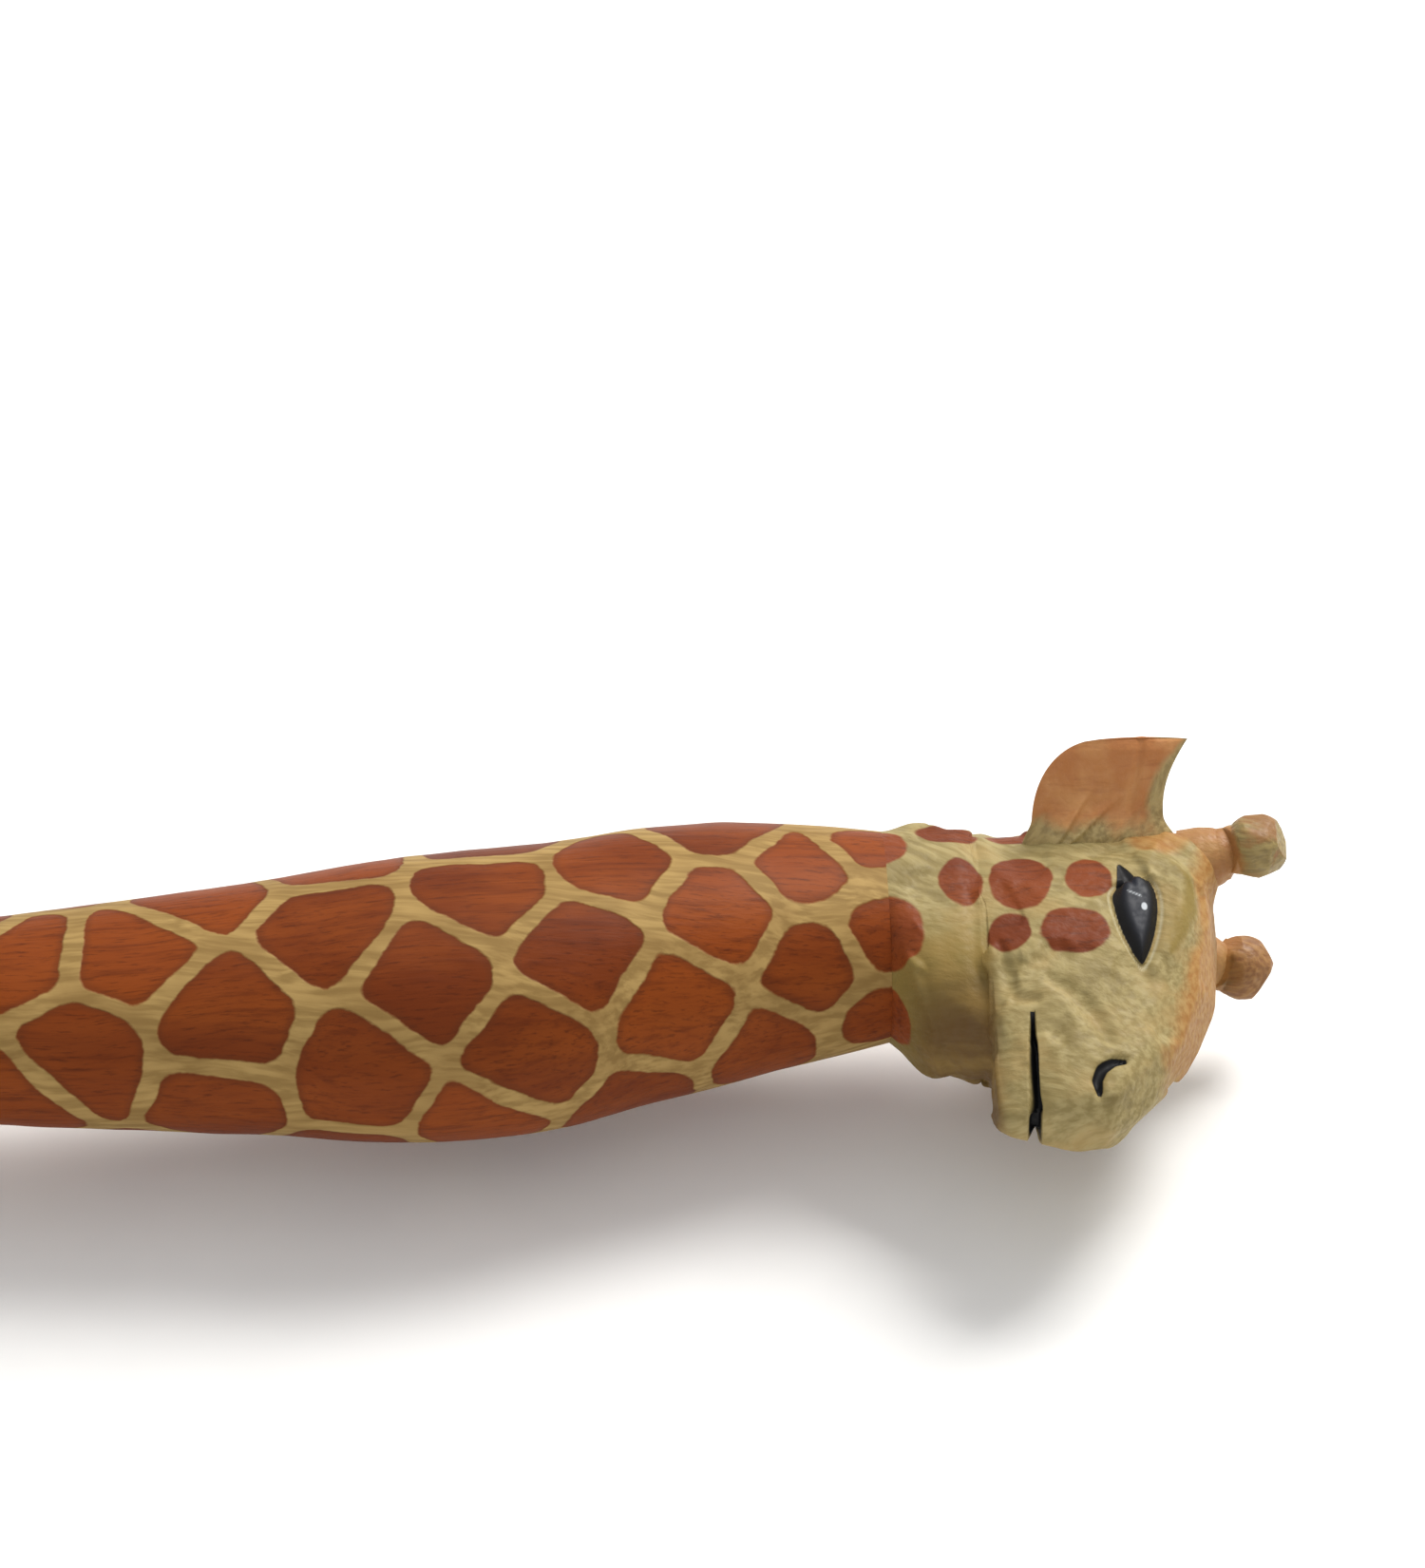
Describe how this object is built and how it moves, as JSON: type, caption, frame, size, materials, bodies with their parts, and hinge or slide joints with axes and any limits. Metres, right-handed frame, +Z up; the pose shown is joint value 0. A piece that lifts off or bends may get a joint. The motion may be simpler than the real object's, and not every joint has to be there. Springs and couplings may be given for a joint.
{
  "type": "carved giraffe back scratcher",
  "caption": "Carved wooden back scratcher: a painted giraffe neck and head as the handle, a plain stained shaft, and a flat paddle ending in a hooked rake.",
  "frame": {"origin": "under the middle of the whole tool, on the surface it lies on", "axes": "+X along the tool from the rake to the head, +Y towards the back of the giraffe's neck, +Z up to the giraffe's right side, because it lies on its left side"},
  "size_m": [0.465, 0.064, 0.0536],
  "materials": {
    "stained_wood": "reddish brown stain with a satin wax finish, fine darker grain along the tool",
    "painted_hide": "chestnut stained patches between brushed greenish cream lines, satin",
    "painted_head": "brushed greenish cream paint over wood, with chestnut spots and tan on the nose",
    "painted_ear": "orange tan inside with a brushed cream rim",
    "painted_horn": "tan stem with an olive brushed knob",
    "dowel_wood": "plain pale beech"
  },
  "bodies": {
    "root": {"shaft": "stained_wood", "rake": "stained_wood", "neck": "painted_hide", "head": "painted_head", "right_ear": "painted_ear", "left_ear": "painted_ear", "right_horn": "painted_horn", "left_horn": "painted_horn", "shaft_dowel": "dowel_wood", "head_dowel": "dowel_wood", "rake_pins": "dowel_wood"}
  },
  "joints": []
}
